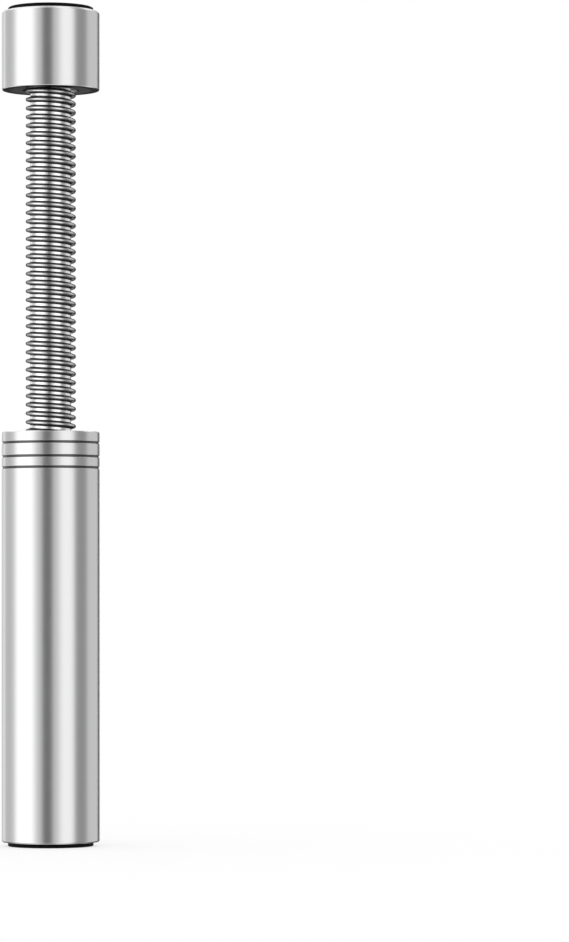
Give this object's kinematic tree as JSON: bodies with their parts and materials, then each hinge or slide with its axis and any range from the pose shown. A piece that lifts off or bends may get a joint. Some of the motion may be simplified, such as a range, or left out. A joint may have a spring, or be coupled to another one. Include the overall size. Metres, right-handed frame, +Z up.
{
  "type": "graphics card support bracket",
  "caption": "Slim round screw jack that stands on a computer case floor and props up a sagging graphics card; turning its cap changes its height.",
  "frame": {"origin": "centre of the foot pad's underside, on the surface that the jack stands on", "axes": "+Z up along the common axis of every piece, from the foot to the card; X and Y lie in the case floor"},
  "size_m": [0.014, 0.014, 0.12],
  "materials": {
    "sleeve": "turned and satin anodised, silver",
    "screw": "bright thread, silver",
    "cap": "turned and satin anodised, silver",
    "pad": "matte black sheet",
    "magnet": "nickel plated"
  },
  "bodies": {
    "base": {"sleeve": "sleeve", "base_magnet": "magnet", "foot_pad": "pad"},
    "lift": {"head_pad": "pad"},
    "screw": {"spindle": "screw", "head_cap": "cap"}
  },
  "joints": [
    {"name": "cap_lift", "type": "slide", "parent": "base", "child": "lift", "axis": [0, 0, 1], "range_m": [-0.048, 0]},
    {"name": "cap_turn", "type": "hinge", "parent": "lift", "child": "screw", "pos_m": [0, 0, 0.1], "axis": [0, 0, 1], "range_deg": [0, 13824]}
  ],
  "couplings": [
    {"joint": "cap_turn", "follows": "cap_lift", "rad_per_m": -5026.5}
  ]
}
